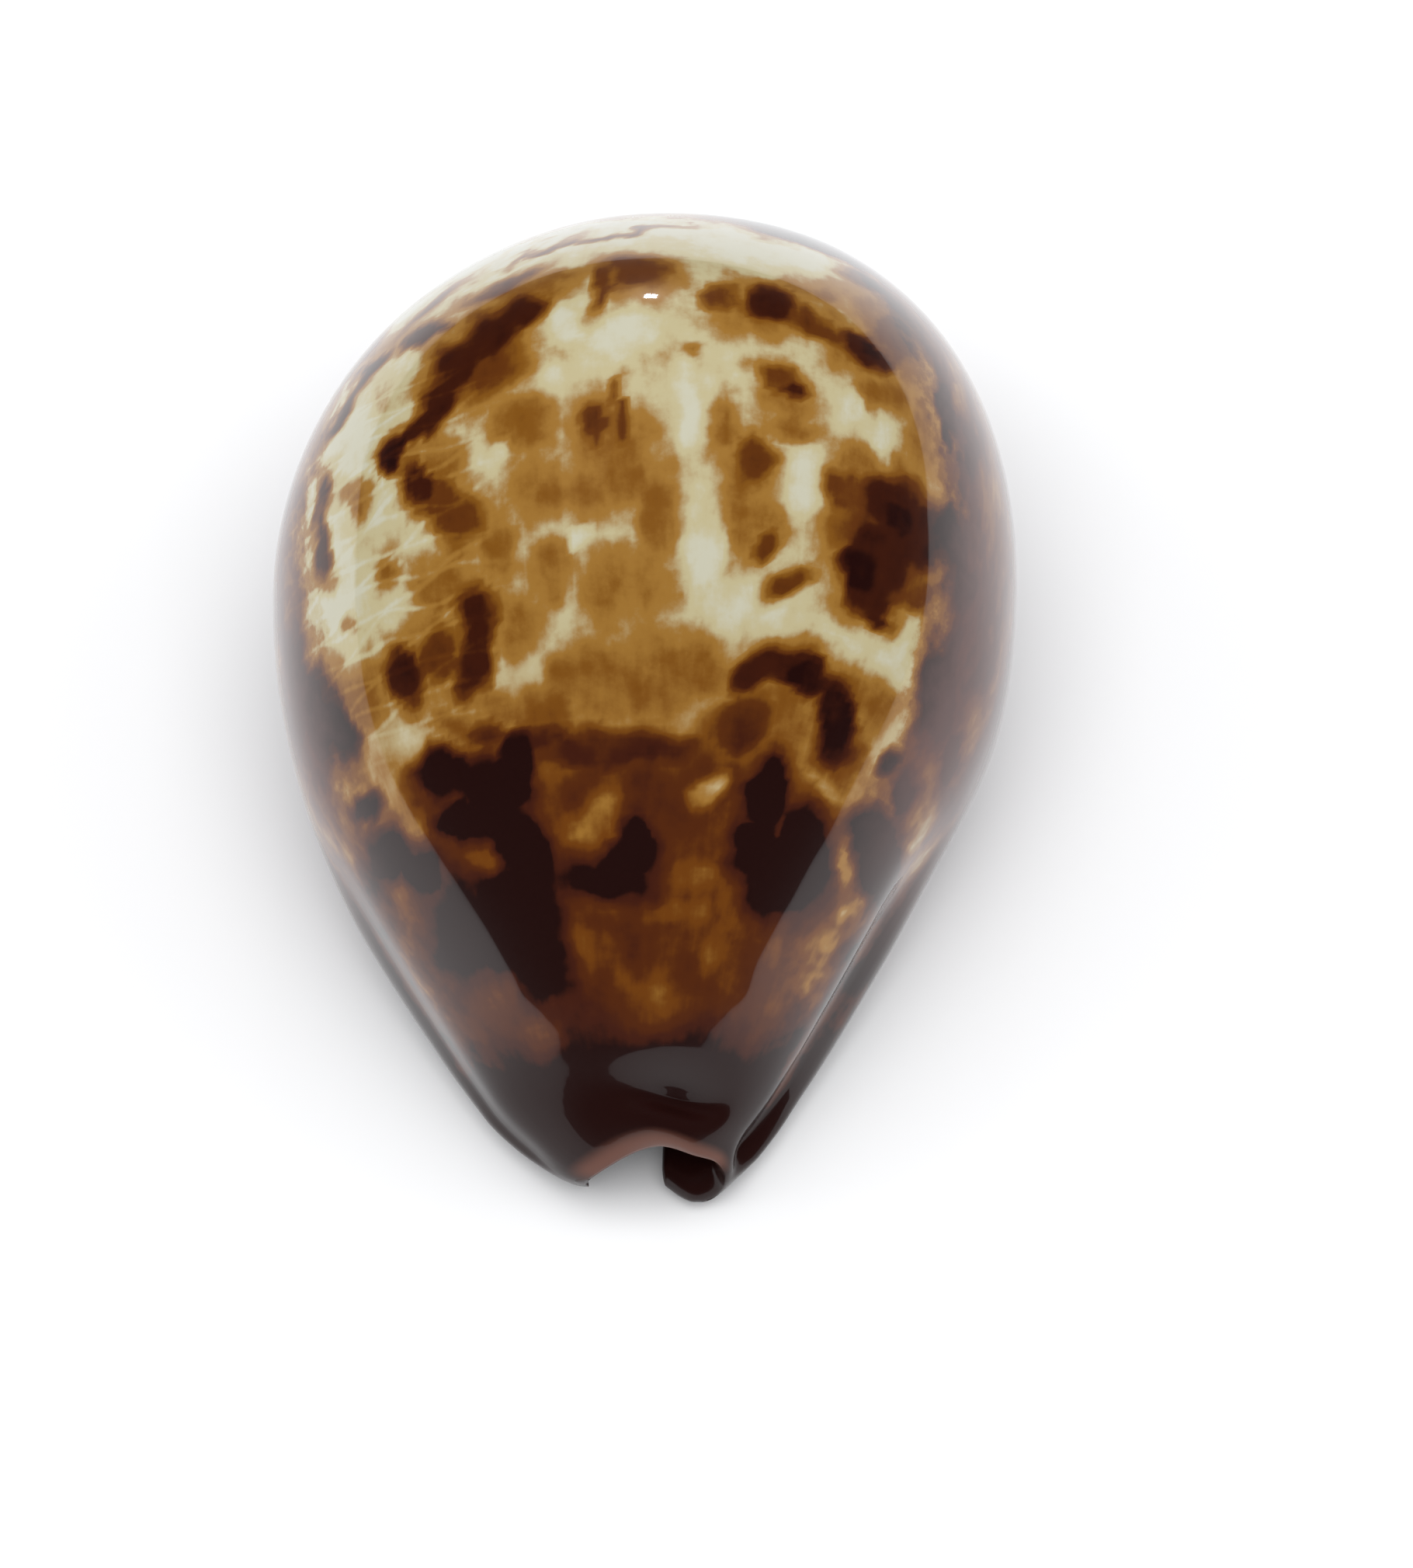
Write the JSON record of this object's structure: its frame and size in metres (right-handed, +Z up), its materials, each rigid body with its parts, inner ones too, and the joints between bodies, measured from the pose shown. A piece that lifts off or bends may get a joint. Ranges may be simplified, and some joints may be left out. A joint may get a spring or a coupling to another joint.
{
  "type": "cowrie shell",
  "caption": "Glossy humped cowrie shell with a flat underside, a narrow toothed slit from end to end and a hollow inside.",
  "frame": {"origin": "middle of the shell's length and width, at the level of the flat underside it rests on", "axes": "+Y along the length, from the narrow front end to the broad back end; +X towards the inner lip; +Z up, out of the humped back"},
  "size_m": [0.0402, 0.054, 0.0323],
  "materials": {
    "shell": "gloss"
  },
  "bodies": {
    "root": {"shell": "shell"}
  },
  "joints": []
}
